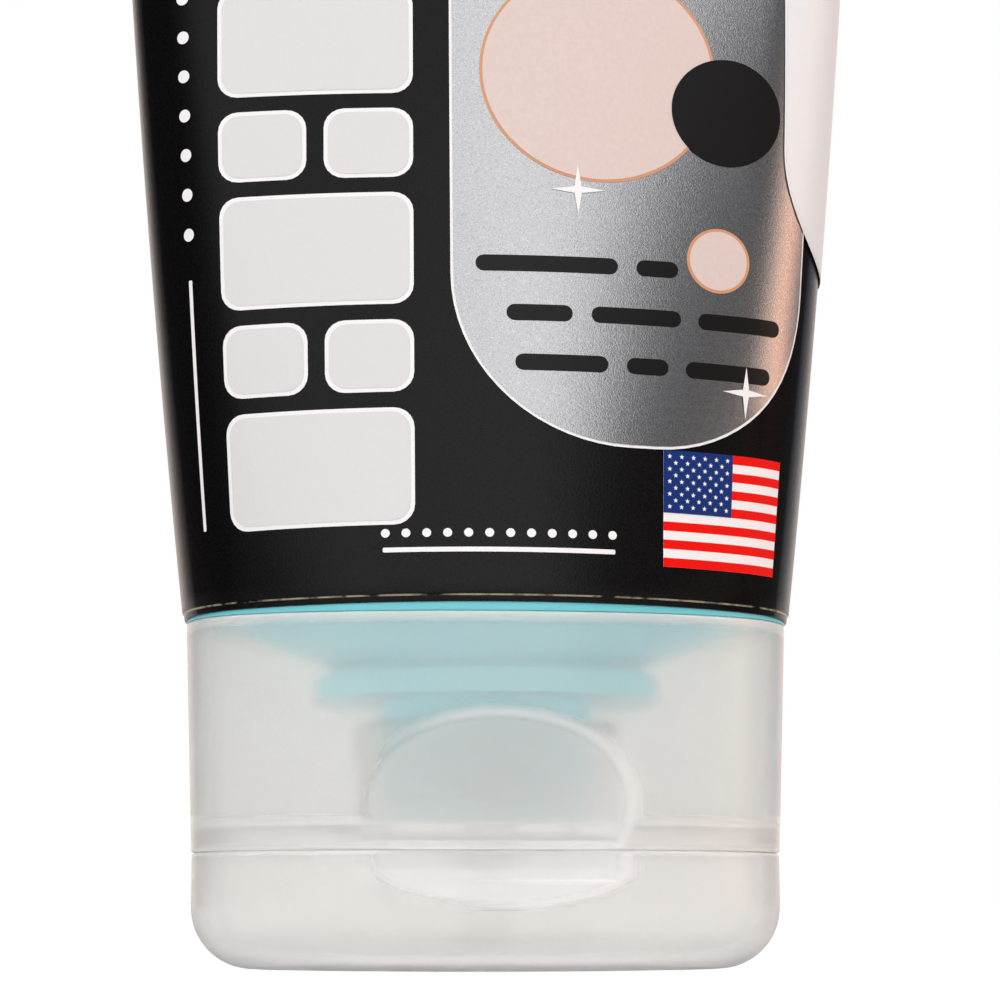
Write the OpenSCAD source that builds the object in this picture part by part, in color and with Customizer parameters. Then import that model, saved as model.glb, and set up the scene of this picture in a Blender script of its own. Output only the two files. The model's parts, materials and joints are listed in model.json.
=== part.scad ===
// Oval squeeze tube of gel that stands on its flip-top cap.
// +Z is up and Z 0 is the flat end of the lid. The print and the thumb recess face -Y,
// the wide axis of the oval is X, and the lid's hinge is at the back, +Y.
// Every oval is drawn from four arcs, and nested ovals share the arcs' centres.

/* [Sleeve] */
// Width of the sleeve's oval foot
foot_w = 46.4; // [44:0.2:50]
// Depth of the sleeve's oval foot
foot_d = 33; // [31:0.2:36]
// Radius of the tight arcs at the two ends of the oval foot
foot_end_r = 13; // [11.5:0.1:14]
// Length of the sleeve from its foot to the end of the crimp
sleeve_len = 122; // [95:1:150]
// Wall of the sleeve
sleeve_wall = 0.45; // [0.3:0.05:0.7]
// Height of the flat crimped end
crimp_h = 7; // [5:0.5:10]
// Thickness of the crimped end
crimp_t = 1.1; // [1:0.05:1.4]
// Empty height between the gel and the crimp
headspace = 6; // [3:0.5:20]

/* [Cap base] */
// Height of the cap's open rim above the lid's flat end
rim_z = 25.6; // [24.5:0.1:28]
// Height of the parting line between the cap's base and its lid
parting_z = 8.6; // [8:0.1:9]
// Wall of the cap's base
base_wall = 1.1; // [0.9:0.05:1.3]
// How far the rim stands in from the sleeve
rim_inset = 0.3; // [0.2:0.05:0.5]
// How much the cap narrows on each side from its rim to the parting line
draft = 0.6; // [0.3:0.05:0.8]
// Thickness of the deck that closes the base
deck_t = 1.2; // [1:0.05:1.5]
// Depth from the parting line up to the deck
deck_recess = 0.6; // [0.4:0.05:0.8]
// Radius of the hole that the gel comes out of
orifice_r = 2; // [1.8:0.05:2.4]
// Wall of the nozzle around the hole
nozzle_wall = 1.3; // [1:0.05:1.6]
// Length of the nozzle below the deck
nozzle_len = 1.6; // [1.2:0.1:2]
// Height of the inner skirt's end, which grips the neck's thread
skirt_z = 18.3; // [17:0.1:18.8]
// Wall of the inner skirt
skirt_wall = 1.05; // [0.9:0.05:1.2]

/* [Cap lid] */
// Wall of the lid
lid_wall = 1.1; // [0.9:0.05:1.3]
// Radius of the lid's outer edge around its flat end
lid_edge_r = 4.6; // [3.8:0.1:5]
// How much the lid stands in from the base's edge
lid_inset = 0.05; // [0:0.05:0.15]
// Depth of the sealing plug's tip inside the nozzle
plug_reach = 2.2; // [1.6:0.1:2.4]

/* [Thumb recess] */
// Depth of the recess at its middle
recess_depth = 1.65; // [1.4:0.05:1.8]
// Height of the recess's upper edge
recess_top_z = 18.2; // [17:0.1:19]
// Height of the deepest line of the recess
recess_mid_z = 11.4; // [10.8:0.1:12]
// Height of the recess's lower edge, on the lid
recess_low_z = 4.7; // [4.7:0.05:5]
// Height at which the recess's sloping floor ends
recess_floor_z = 6.4; // [6.3:0.05:6.8]

/* [Hinge] */
// Width of the thin web that joins the lid to the base
hinge_w = 14; // [10:0.5:16]
// Height of the web
hinge_h = 1.5; // [1.2:0.1:1.8]
// Thickness of the web
hinge_t = 0.4; // [0.35:0.05:0.5]
// Height of each flat land that carries the web
land_h = 2.4; // [2:0.1:2.6]

/* [Tube head] */
// Radius of the neck under its thread
neck_r = 7.8; // [7.4:0.1:8.2]
// Wall of the neck
neck_wall = 1.3; // [1:0.05:1.6]
// Height of the thread's ridges above the neck
thread_h = 0.9; // [0.7:0.05:0.95]
// Distance from one ridge of the thread to the next
thread_pitch = 1.85; // [1.7:0.05:1.9]
// Number of ridges that show along the neck
thread_turns = 4; // [3:1:4]
// Radius of the round flange under the shoulder
flange_r = 13; // [12:0.1:13.4]
// Thickness of the flange
flange_t = 1.9; // [1.5:0.1:2.1]
// Radius of the short step between the flange and the shoulder
step_r = 11.65; // [11:0.05:11.8]
// Height of the step
step_h = 0.7; // [0.5:0.1:0.9]
// Drop of the shoulder from the sleeve's foot to the step
shoulder_drop = 3.2; // [3:0.1:3.6]
// Width of the shoulder's flat border
border_w = 3.3; // [3:0.1:3.8]
// Wall of the shoulder and of the collar
head_wall = 1; // [0.8:0.05:1.2]
// Height of the collar that is welded inside the sleeve
collar_h = 3; // [2:0.1:4]
// Thickness of the rim that shows between the sleeve and the cap
head_rim_t = 0.35; // [0.3:0.05:0.4]

/* [Fits] */
// Gap between the cap's rim and the tube's head
rim_gap = 0.1; // [0.05:0.05:0.2]
// Gap between the lid's edge and the base's edge
parting_gap = 0.12; // [0.1:0.02:0.2]
// Gap around the neck's thread inside the inner skirt
thread_gap = 0.3; // [0.2:0.05:0.35]
// Gap between the neck's mouth and the deck
mouth_gap = 0.3; // [0.2:0.05:0.5]
// Gap around the sealing plug in the nozzle
plug_gap = 0.25; // [0.2:0.05:0.3]
// Gap between the collar and the inside of the sleeve
weld_gap = 0.06; // [0.05:0.01:0.1]
// Gap around the gel
gel_gap = 0.15; // [0.1:0.05:0.3]
// Gap between the web and the lands that it joins
web_gap = 0.02; // [0.01:0.01:0.05]
// Gap between the hinge's axis and the outer face of the lands
land_gap = 0.1; // [0.05:0.05:0.2]

/* [Hidden] */
facets = 128;
overlap = 0.05;
far = 80;

// Four arcs of the foot's oval
end_x = foot_w / 2 - foot_end_r;
side_r = (pow(end_x, 2) + pow(foot_d / 2, 2) - pow(foot_end_r, 2)) / (foot_d - 2 * foot_end_r);
side_y = side_r - foot_d / 2;
wedge = atan2(side_y, end_x);

// Heights and faces that several pieces share
foot_z = rim_z + rim_gap + head_rim_t;
base_edge = -rim_inset - draft;
deck_low_z = parting_z + deck_recess;
deck_z = deck_low_z + deck_t;
lid_top_z = parting_z - parting_gap;
lid_edge = base_edge - lid_inset;
nozzle_z = deck_low_z - nozzle_len;
border_z = foot_z - head_rim_t;
shoulder_z = border_z - shoulder_drop;
flange_z = shoulder_z - step_h;
neck_z = flange_z - flange_t;
mouth_z = deck_z + mouth_gap;
bore_r = neck_r - neck_wall;
skirt_bore_r = neck_r + thread_h + thread_gap;
thread_z = (mouth_z + skirt_z - (thread_turns - 1) * thread_pitch) / 2;
collar_inset = sleeve_wall + weld_gap;
land_y = foot_d / 2 + base_edge + hinge_t;
hinge_y = land_y + land_gap;

// Sleeve: the depth falls evenly to the crimp while the girth stays the same
flat_z = foot_z + sleeve_len - crimp_h;
end_share = foot_end_r / (foot_d / 2);
girth = oval_girth(foot_w / 2, foot_d / 2);
end_points = 12;
side_points = 18;
ring_steps = 16;
edge_steps = 9;

// Recess: one round cut whose deepest line is at recess_mid_z
recess_rise = face_y(recess_top_z) - face_y(recess_mid_z) + recess_depth;
recess_half_h = recess_top_z - recess_mid_z;
recess_r = (pow(recess_half_h, 2) + pow(recess_rise, 2)) / (2 * recess_rise);
recess_y = face_y(recess_mid_z) - recess_depth;

// How far the cap's outline stands in from the sleeve's foot at a height
function outline(z) = base_edge + draft * (z - parting_z) / (rim_z - parting_z);
// Distance of the cap's front face from the axis at a height
function face_y(z) = foot_d / 2 + outline(z);
// Girth of an oval of half width a and half depth b
function oval_girth(a, b) = PI * (3 * (a + b) - sqrt((3 * a + b) * (a + 3 * b)));
// Half width that keeps the sleeve's girth at half depth b, found by halving a span
function width_at(b, low = foot_w / 2, high = foot_w, steps = 24) =
    let (mid = (low + high) / 2)
    steps == 0 ? mid
    : oval_girth(mid, b) > girth ? width_at(b, low, mid, steps - 1)
    : width_at(b, mid, high, steps - 1);
// Half depth of the sleeve at a height
function depth_at(z) = foot_d / 2 - (foot_d - crimp_t) / 2 * min(1, max(0, (z - foot_z) / (flat_z - foot_z)));

// Points of an oval of half width a and half depth b at height z
function oval_ring(a, b, z) =
    let (
        r = b * end_share,
        big = (pow(a - r, 2) + pow(b, 2) - pow(r, 2)) / (2 * (b - r)),
        turn = atan2(big - b, a - r),
        half = concat(
            [for (i = [0 : end_points - 1]) let (t = turn * (2 * i / end_points - 1))
                [a - r + r * cos(t), r * sin(t)]],
            [for (i = [0 : side_points - 1]) let (t = turn + (180 - 2 * turn) * i / side_points)
                [big * cos(t), big * sin(t) - (big - b)]]
        )
    )
    [for (s = [1, -1], p = half) [s * p[0], s * p[1], z]];
// Ring of the sleeve at a height, shrunk all round by inset
function sleeve_ring(z, inset, at = undef) =
    let (b = depth_at(z)) oval_ring(width_at(b) - inset, b - inset, is_undef(at) ? z : at);

// Block that follows the sleeve's taper from one height up to another, shrunk by inset
module sleeve_block(z1, z2, inset) {
    span = (flat_z - foot_z) / ring_steps;
    intersection() {
        skin([
            sleeve_ring(foot_z, inset, foot_z - overlap),
            sleeve_ring(foot_z, inset),
            sleeve_ring(foot_z + span, inset)
        ]);
        translate([-far, -far, z1]) cube([2 * far, 2 * far, z2 - z1]);
    }
}

// Solid skinned over rings that all have the same number of points
module skin(rings) {
    n = len(rings[0]);
    last = len(rings) - 1;
    polyhedron(
        points = [for (ring = rings, p = ring) p],
        faces = concat(
            [[for (i = [0 : n - 1]) i]],
            [[for (i = [n - 1 : -1 : 0]) last * n + i]],
            [for (k = [0 : last - 1], i = [0 : n - 1])
                [k * n + i, (k + 1) * n + i, (k + 1) * n + (i + 1) % n, k * n + (i + 1) % n]]
        )
    );
}

// Sweeps a profile round the oval. The profile's X is 0 on the sleeve's foot and negative inside it
module oval_sweep() {
    for (turn = [0, 180]) rotate([0, 0, turn]) {
        translate([end_x, 0, 0])
            rotate([0, 0, -wedge])
            arc_sweep(foot_end_r, 2 * wedge, 0) children();
        translate([0, -side_y, 0])
            rotate([0, 0, wedge])
            arc_sweep(side_r, 180 - 2 * wedge, side_y) children();
    }
}

// Turns a profile through an angle, and leaves out what lies within inner_r of the arc's centre
module arc_sweep(radius, angle, inner_r) {
    rotate_extrude(angle = angle, $fn = facets)
        intersection() {
            translate([radius, 0]) children();
            translate([inner_r, 0]) square(far);
        }
}

// Upright oval wall between two heights, each with its own inset
module oval_block(z1, edge1, z2, edge2) {
    oval_sweep() polygon([[-far, z1], [edge1, z1], [edge2, z2], [-far, z2]]);
}

// Oval plate, for the head's rim and the shoulder's blend
module oval_plate(inset, z, t) {
    translate([0, 0, z])
        linear_extrude(t)
        polygon([for (p = oval_ring(foot_w / 2 - inset, foot_d / 2 - inset, 0)) [p[0], p[1]]]);
}

// Shoulder from the oval border down to the round step, shrunk by inset
module shoulder(inset) {
    hull() {
        oval_plate(border_w + inset, border_z, overlap);
        translate([0, 0, shoulder_z]) cylinder(r = step_r - inset, h = overlap, $fn = 48);
    }
}

// Round cut of the recess, grown to leave a wall behind it
module recess_round(grow) {
    translate([0, -recess_y - recess_r, recess_mid_z])
        rotate([0, 90, 0])
        cylinder(r = recess_r + grow, h = foot_w, center = true, $fn = facets);
}

// Flat cut of the recess in the lid, with its sloping floor, grown to leave a wall behind it
module recess_flat(grow) {
    y_in = recess_y - grow;
    y_out = foot_d / 2 + lid_edge;
    slope = (recess_floor_z - recess_low_z) / (y_out - recess_y);
    drop = grow * sqrt(1 + pow(slope, 2));
    low = recess_low_z - drop - slope * (far - y_out);
    translate([-foot_w / 2, 0, 0])
        rotate([90, 0, 90])
        linear_extrude(foot_w)
        polygon([
            [-far, low],
            [-y_in, low + slope * (far - y_in)],
            [-y_in, far],
            [-far, far]
        ]);
}

// Flat land on the cap's back, from height z up
module hinge_land(z) {
    translate([-hinge_w / 2, 0, z]) cube([hinge_w, land_y, land_h]);
}

module tube_sleeve() {
    heights = [for (i = [0 : ring_steps]) foot_z + (flat_z - foot_z) * i / ring_steps];
    color("#1b1a1c")
        difference() {
            skin(concat(
                [for (z = heights) sleeve_ring(z, 0)],
                [sleeve_ring(flat_z + crimp_h, 0)]
            ));
            skin(concat(
                [sleeve_ring(foot_z, sleeve_wall, foot_z - overlap)],
                [for (z = heights) sleeve_ring(z, sleeve_wall)]
            ));
        }
}

module tube_head() {
    color("#86c7cc")
        difference() {
            union() {
                oval_plate(rim_inset, border_z, head_rim_t);
                sleeve_block(foot_z - overlap, foot_z + collar_h, collar_inset);
                shoulder(0);
                translate([0, 0, flange_z]) cylinder(r = step_r, h = step_h + overlap, $fn = facets);
                translate([0, 0, neck_z]) cylinder(r = flange_r, h = flange_t, $fn = facets);
                translate([0, 0, mouth_z]) cylinder(r = neck_r, h = neck_z - mouth_z + overlap, $fn = facets);
                for (i = [0 : thread_turns - 1])
                    translate([0, 0, thread_z + i * thread_pitch])
                    thread_ridge();
            }
            sleeve_block(foot_z, foot_z + collar_h + overlap, collar_inset + head_wall);
            translate([0, 0, head_wall]) shoulder(head_wall);
            translate([0, 0, mouth_z - overlap]) cylinder(r = bore_r, h = foot_z - mouth_z, $fn = facets);
        }
}

// One ridge of the thread, which tapers to its crest
module thread_ridge() {
    root = thread_pitch / 3;
    crest = thread_pitch / 10;
    rotate_extrude($fn = facets)
        polygon([
            [neck_r - overlap, -root],
            [neck_r + thread_h, -crest],
            [neck_r + thread_h, crest],
            [neck_r - overlap, root]
        ]);
}

module gel_fill() {
    inset = sleeve_wall + gel_gap;
    low_inset = collar_inset + head_wall + gel_gap;
    collar_top_z = foot_z + collar_h + gel_gap;
    top_z = flat_z - headspace;
    heights = [for (i = [0 : ring_steps]) collar_top_z + (top_z - collar_top_z) * i / ring_steps];
    color("#5fc6d2")
        union() {
            skin([for (z = heights) sleeve_ring(z, inset)]);
            sleeve_block(foot_z + head_wall, collar_top_z + overlap, low_inset);
            translate([0, 0, head_wall + gel_gap]) shoulder(head_wall + gel_gap);
            translate([0, 0, mouth_z])
                cylinder(r = bore_r - gel_gap, h = foot_z + head_wall - mouth_z, $fn = facets);
        }
}

module cap_base() {
    inner_edge = -rim_inset - base_wall;
    color("#dcdad7")
        difference() {
            union() {
                difference() {
                    union() {
                        oval_block(parting_z, base_edge, rim_z, -rim_inset);
                        hinge_land(parting_z + hinge_h / 2);
                    }
                    difference() {
                        oval_block(deck_z, outline(deck_z) - base_wall, rim_z + overlap, inner_edge);
                        recess_round(base_wall);
                    }
                    difference() {
                        oval_block(
                            parting_z - overlap, base_edge - base_wall,
                            deck_low_z, outline(deck_low_z) - base_wall
                        );
                        recess_round(base_wall);
                    }
                }
                translate([0, 0, deck_z - overlap])
                    cylinder(r = skirt_bore_r + skirt_wall, h = skirt_z - deck_z + overlap, $fn = facets);
                translate([0, 0, nozzle_z])
                    cylinder(r = orifice_r + nozzle_wall, h = nozzle_len + overlap, $fn = facets);
            }
            recess_round(0);
            translate([0, 0, deck_z]) cylinder(r = skirt_bore_r, h = skirt_z, $fn = facets);
            translate([0, 0, nozzle_z - overlap]) cylinder(r = orifice_r, h = skirt_z, $fn = facets);
            hinge_notch();
        }
}

// Pocket across both back edges that the web lies in
module hinge_notch() {
    translate([-hinge_w / 2, land_y - hinge_t - web_gap, parting_z - hinge_h / 2])
        cube([hinge_w, foot_d, hinge_h]);
}

module cap_lid() {
    inner_r = lid_edge_r - lid_wall;
    plug_r = orifice_r - plug_gap;
    color("#dcdad7")
        difference() {
            union() {
                difference() {
                    union() {
                        oval_sweep() lid_profile(lid_edge, lid_edge_r, 0, lid_top_z);
                        hinge_land(parting_z - hinge_h / 2 - land_h);
                    }
                    difference() {
                        oval_sweep() lid_profile(lid_edge - lid_wall, inner_r, lid_wall, lid_top_z + overlap);
                        recess_flat(lid_wall);
                    }
                }
                translate([0, 0, lid_wall - overlap])
                    cylinder(r = plug_r, h = nozzle_z + plug_reach - lid_wall + overlap, $fn = facets);
            }
            recess_flat(0);
            hinge_notch();
        }
}

// Half section of the lid's body, whose lower edge is rounded in even steps
module lid_profile(edge, r, low_z, top_z) {
    polygon(concat(
        [[-far, low_z]],
        [for (i = [0 : edge_steps]) let (t = 90 * i / edge_steps - 90)
            [edge - r + r * cos(t), low_z + r + r * sin(t)]],
        [[edge, top_z], [-far, top_z]]
    ));
}

module hinge_web() {
    color("#e4e2df")
        translate([-hinge_w / 2 + web_gap, land_y - hinge_t, parting_z - hinge_h / 2 + web_gap])
        cube([hinge_w - 2 * web_gap, hinge_t, hinge_h - 2 * web_gap]);
}

tube_sleeve();
tube_head();
gel_fill();
cap_base();
cap_lid();
hinge_web();
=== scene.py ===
"""Looks of an oval squeeze tube of gel that stands on its frosted flip-top cap.

The modelling code works in millimetres in the row frame: +Z up, the print and the thumb recess towards -Y.
Every oval is drawn from four arcs, and nested ovals share the arcs' centres.
"""

import json  # noqa: E402
import logging  # noqa: E402
import math  # noqa: E402
from dataclasses import dataclass, field  # noqa: E402
from enum import Enum  # noqa: E402
from typing import Callable, Iterable, Mapping, Optional, Sequence, Union  # noqa: E402

import bpy  # noqa: E402
import numpy as np  # noqa: E402
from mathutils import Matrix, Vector  # noqa: E402

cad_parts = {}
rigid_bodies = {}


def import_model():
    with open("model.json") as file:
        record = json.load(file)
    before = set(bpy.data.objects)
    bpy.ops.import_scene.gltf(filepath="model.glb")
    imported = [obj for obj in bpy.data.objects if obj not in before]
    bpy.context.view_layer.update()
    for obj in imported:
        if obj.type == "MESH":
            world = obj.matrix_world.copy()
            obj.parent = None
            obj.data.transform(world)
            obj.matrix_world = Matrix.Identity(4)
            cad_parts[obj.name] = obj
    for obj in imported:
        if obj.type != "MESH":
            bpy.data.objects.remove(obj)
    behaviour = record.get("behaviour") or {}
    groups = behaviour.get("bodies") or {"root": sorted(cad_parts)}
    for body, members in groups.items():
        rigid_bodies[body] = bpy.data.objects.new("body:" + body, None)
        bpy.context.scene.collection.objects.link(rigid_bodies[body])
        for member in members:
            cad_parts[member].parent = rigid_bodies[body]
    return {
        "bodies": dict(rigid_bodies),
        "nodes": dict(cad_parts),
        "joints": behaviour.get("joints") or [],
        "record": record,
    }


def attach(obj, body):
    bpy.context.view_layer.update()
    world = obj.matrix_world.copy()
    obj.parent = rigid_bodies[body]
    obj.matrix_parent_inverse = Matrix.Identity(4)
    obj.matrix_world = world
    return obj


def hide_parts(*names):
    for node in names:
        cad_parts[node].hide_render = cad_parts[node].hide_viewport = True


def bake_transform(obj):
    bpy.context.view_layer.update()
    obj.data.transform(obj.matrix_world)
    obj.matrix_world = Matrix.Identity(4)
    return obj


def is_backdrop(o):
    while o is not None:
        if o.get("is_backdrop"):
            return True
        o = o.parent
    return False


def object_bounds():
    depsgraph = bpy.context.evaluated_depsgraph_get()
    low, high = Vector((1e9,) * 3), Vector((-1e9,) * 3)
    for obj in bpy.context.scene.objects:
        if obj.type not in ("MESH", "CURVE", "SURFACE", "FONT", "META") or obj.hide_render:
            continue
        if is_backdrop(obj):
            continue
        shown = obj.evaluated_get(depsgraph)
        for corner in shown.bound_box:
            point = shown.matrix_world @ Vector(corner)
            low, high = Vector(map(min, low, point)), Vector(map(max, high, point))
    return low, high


MM = 0.001
FAR = 99.0
Colour = tuple[float, float, float]
Points = list[tuple[float, float]]
Rings = list[np.ndarray]
Sockets = tuple[tuple[str, float], ...]
Socket = bpy.types.NodeSocket
Piece = bpy.types.Object
Term = Union[Socket, float, tuple[float, ...]]
Terms = Mapping[Union[str, int], Term]

logging.basicConfig(level=logging.INFO, format="%(levelname)s %(message)s")
log = logging.getLogger("tube")


class MilkAndHighlight:
    """How milky each part of the clear plastics is, from 0 for clear to 1 for white. The deck-line, edge,
    recess-edge and recess-fold values whiten parts of the plastic as painted highlights.
    """

    NAME = "milk_and_highlight"
    SKIRT = 0.05
    WALL = 0.19
    # Painted highlight: whiter plastic on the outer wall at the deck's height.
    DECK_LINE_HIGHLIGHT = 0.48
    RECESS = 0.48
    DECK = 0.6
    SHOULDER = 0.6
    # Painted highlight on the rounded edges at the parting line and at the rim.
    EDGE_HIGHLIGHT = 0.62
    # Painted highlight along the recess's rounded edge.
    RECESS_EDGE_HIGHLIGHT = 0.66
    HEAD_RIM = 0.76
    # Painted highlight on the fold at the recess's foot.
    RECESS_FOLD_HIGHLIGHT = 0.92
    NECK = 0.97

    @classmethod
    def over_wall(cls, milk_and_highlight: float, share: np.ndarray) -> np.ndarray:
        """Returns the wall's milkiness, raised by a share towards another one."""
        return cls.WALL + (milk_and_highlight - cls.WALL) * share


class Side(Enum):
    """Side of the cap's wall that a ring lies on, which says how the thumb recess shapes it."""

    OUTER = "outer"
    INNER = "inner"


class Shape(Enum):
    """Kinds of flat print shape."""

    PANEL = "panel"
    DISC = "disc"
    STAR = "star"


@dataclass(frozen=True)
class Form:
    """Sizes that several pieces share, in millimetres."""

    foot_w: float = 46.4
    foot_d: float = 33.0
    end_r: float = 13.0
    foot_z: float = 26.05
    flat_z: float = 141.05
    top_z: float = 148.05
    crimp_t: float = 1.1
    sleeve_wall: float = 0.45
    rim_z: float = 25.6
    parting_z: float = 8.6
    rim_inset: float = 0.3
    draft: float = 0.6
    wall: float = 1.1
    deck_low_z: float = 9.2
    deck_z: float = 10.4
    orifice_r: float = 2.0
    nozzle_r: float = 3.3
    nozzle_z: float = 7.6
    skirt_z: float = 18.3
    skirt_in_r: float = 9.0
    skirt_out_r: float = 10.05
    lid_top_z: float = 8.54
    lid_inset: float = 0.05
    lid_edge_r: float = 4.6
    plug_r: float = 1.75
    plug_z: float = 9.8
    recess_depth: float = 1.65
    recess_top_z: float = 18.2
    recess_mid_z: float = 11.4
    recess_low_z: float = 4.7
    recess_floor_z: float = 6.4
    hinge_w: float = 14.0
    hinge_h: float = 1.5
    hinge_t: float = 0.4
    land_h: float = 2.4
    border_z: float = 25.7
    border_w: float = 3.3
    shoulder_z: float = 22.5
    step_r: float = 11.65
    flange_r: float = 13.0
    flange_z: float = 21.8
    neck_z: float = 19.9
    neck_r: float = 7.8
    bore_r: float = 6.5
    mouth_z: float = 10.7
    thread_h: float = 0.9
    thread_pitch: float = 1.85
    collar_inset: float = 0.51
    collar_h: float = 3.0
    head_wall: float = 1.0
    rim_rise: float = 0.2
    rim_sway: float = 0.42
    rim_half_d: float = 16.2

    def outline(self, z: float) -> float:
        """How far the cap's outline stands in from the sleeve's foot at a height."""
        rise = self.draft * (z - self.parting_z) / (self.rim_z - self.parting_z)
        return -self.rim_inset - self.draft + rise

    def cap_w(self, z: float) -> float:
        """Half width of the cap's base at a height."""
        return self.foot_w / 2 + self.outline(z)

    def rim_wave(self, y: np.ndarray) -> np.ndarray:
        """Returns how far the cap's rim rises at its ends and dips at its front and back."""
        return self.rim_rise - self.rim_sway * (y / self.rim_half_d) ** 2

    @property
    def recess_y(self) -> float:
        """Distance of the recess's deepest line from the axis."""
        return self.foot_d / 2 + self.outline(self.recess_mid_z) - self.recess_depth

    @property
    def recess_r(self) -> float:
        """Radius of the round cut that makes the recess.

        Returns:
            The radius.
        """
        half = self.recess_top_z - self.recess_mid_z
        rise = self.foot_d / 2 + self.outline(self.recess_top_z) - self.recess_y
        return (half**2 + rise**2) / (2 * rise)

    @property
    def land_y(self) -> float:
        """Distance of the hinge's flat lands from the axis."""
        return self.foot_d / 2 + self.outline(self.parting_z) + self.hinge_t


def smooth_min(a: np.ndarray, b: np.ndarray, k: float) -> np.ndarray:
    """Returns the smaller of two values, rounded over a span k where they meet."""
    h = np.clip(0.5 + 0.5 * (b - a) / k, 0, 1)
    return b + (a - b) * h - k * h * (1 - h)


def smooth_max(a: np.ndarray, b: np.ndarray, k: float) -> np.ndarray:
    """Returns the larger of two values, rounded over a span k where they meet."""
    return -smooth_min(-a, -b, k)


def smoothstep(x: np.ndarray) -> np.ndarray:
    """Returns an even ramp from 0 to 1 with flat ends."""
    t = np.clip(x, 0, 1)
    return t * t * (3 - 2 * t)


def bell(x: np.ndarray, spread: float) -> np.ndarray:
    """Returns a bell curve that is 1 at 0."""
    return np.exp(-((x / spread) ** 2))


class Ovals:
    """Rings of one family of ovals, all sampled at the same directions."""

    RECESS_FROM = 246.0
    RECESS_TO = 294.0

    def __init__(self, form: Form) -> None:
        """Works out the four arcs of the sleeve's foot.

        Args:
            form: Shared sizes.
        """
        self.form = form
        self.end_x = form.foot_w / 2 - form.end_r
        half = form.foot_d / 2
        self.side_r = (self.end_x**2 + half**2 - form.end_r**2) / (2 * (half - form.end_r))
        self.side_y = self.side_r - half
        self.wedge = math.atan2(self.side_y, self.end_x)
        self.angles = self._directions()

    def _directions(self) -> np.ndarray:
        """Returns the directions of the ring's points, close together over the recess.

        Returns:
            Angles in radians, once round.
        """
        turn = math.degrees(self.wedge)
        knots = [
            (-turn, turn, 34),
            (turn, 180 - turn, 56),
            (180 - turn, 180 + turn, 34),
            (180 + turn, self.RECESS_FROM, 18),
            (self.RECESS_FROM, self.RECESS_TO, 118),
            (self.RECESS_TO, 360 - turn, 18),
        ]
        parts = [np.linspace(a, b, n, endpoint=False) for a, b, n in knots]
        return np.radians(np.concatenate(parts))

    @staticmethod
    def _ring(x: np.ndarray, y: np.ndarray, z: float) -> np.ndarray:
        """Returns a level ring that has no milkiness yet."""
        return np.stack([x, y, np.full_like(x, z), np.zeros_like(x)], 1)

    def round(self, r: Union[float, np.ndarray], z: float) -> np.ndarray:
        """Returns a round ring."""
        return self._ring(r * np.cos(self.angles), r * np.sin(self.angles), z)

    def rounds(self, points: Iterable[tuple[float, float]]) -> Rings:
        """Returns a round ring for each radius and height."""
        return [self.round(r, z) for r, z in points]

    def pipe(self, start: tuple[float, float], end: tuple[float, float], count: int) -> Rings:
        """Returns round rings from one radius and height to another, without the last."""
        return span(self.round(*start), self.round(*end), count)

    def oval(self, w: float, z: float) -> np.ndarray:
        """Returns an oval ring of half width w.

        Args:
            w: Half width.
            z: Height.

        Returns:
            The ring.
        """
        t = self.angles
        folded = np.abs((t + math.pi / 2) % math.pi - math.pi / 2)
        end = folded <= self.wedge + 1e-9
        r = np.where(end, w - self.end_x, w - self.end_x + self.side_r - self.form.end_r)
        cx = np.where(end, np.sign(np.cos(t)) * self.end_x, 0)
        cy = np.where(end, 0, -np.sign(np.sin(t)) * self.side_y)
        return self._ring(cx + r * np.cos(t), cy + r * np.sin(t), z)

    def ovals(self, points: Iterable[tuple[float, float]]) -> Rings:
        """Returns an oval ring for each half width and height."""
        return [self.oval(w, z) for w, z in points]


def span(a: np.ndarray, b: np.ndarray, count: int) -> Rings:
    """Returns the rings between two rings, with the first and without the last."""
    return [a + (b - a) * i / count for i in range(count)]


def walk(points: Sequence[tuple[float, float]], step: float) -> Points:
    """Cuts a line of points into even steps.

    Args:
        points: Corners of the line, as (half width, height).
        step: Longest step.

    Returns:
        Points along the line, with both ends.
    """
    out = [points[0]]
    for a, b in zip(points, points[1:]):
        n = max(1, math.ceil(math.dist(a, b) / step))
        out += [(a[0] + (b[0] - a[0]) * i / n, a[1] + (b[1] - a[1]) * i / n) for i in range(1, n + 1)]
    return out


def corner(w: float, z: float, r: float, start: float, end: float, n: int) -> Points:
    """Returns the points of a rounded edge whose centre is (w, z), from one angle to another in degrees."""
    turns = [math.radians(start + (end - start) * i / n) for i in range(n + 1)]
    return [(w + r * math.cos(t), z + r * math.sin(t)) for t in turns]


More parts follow.
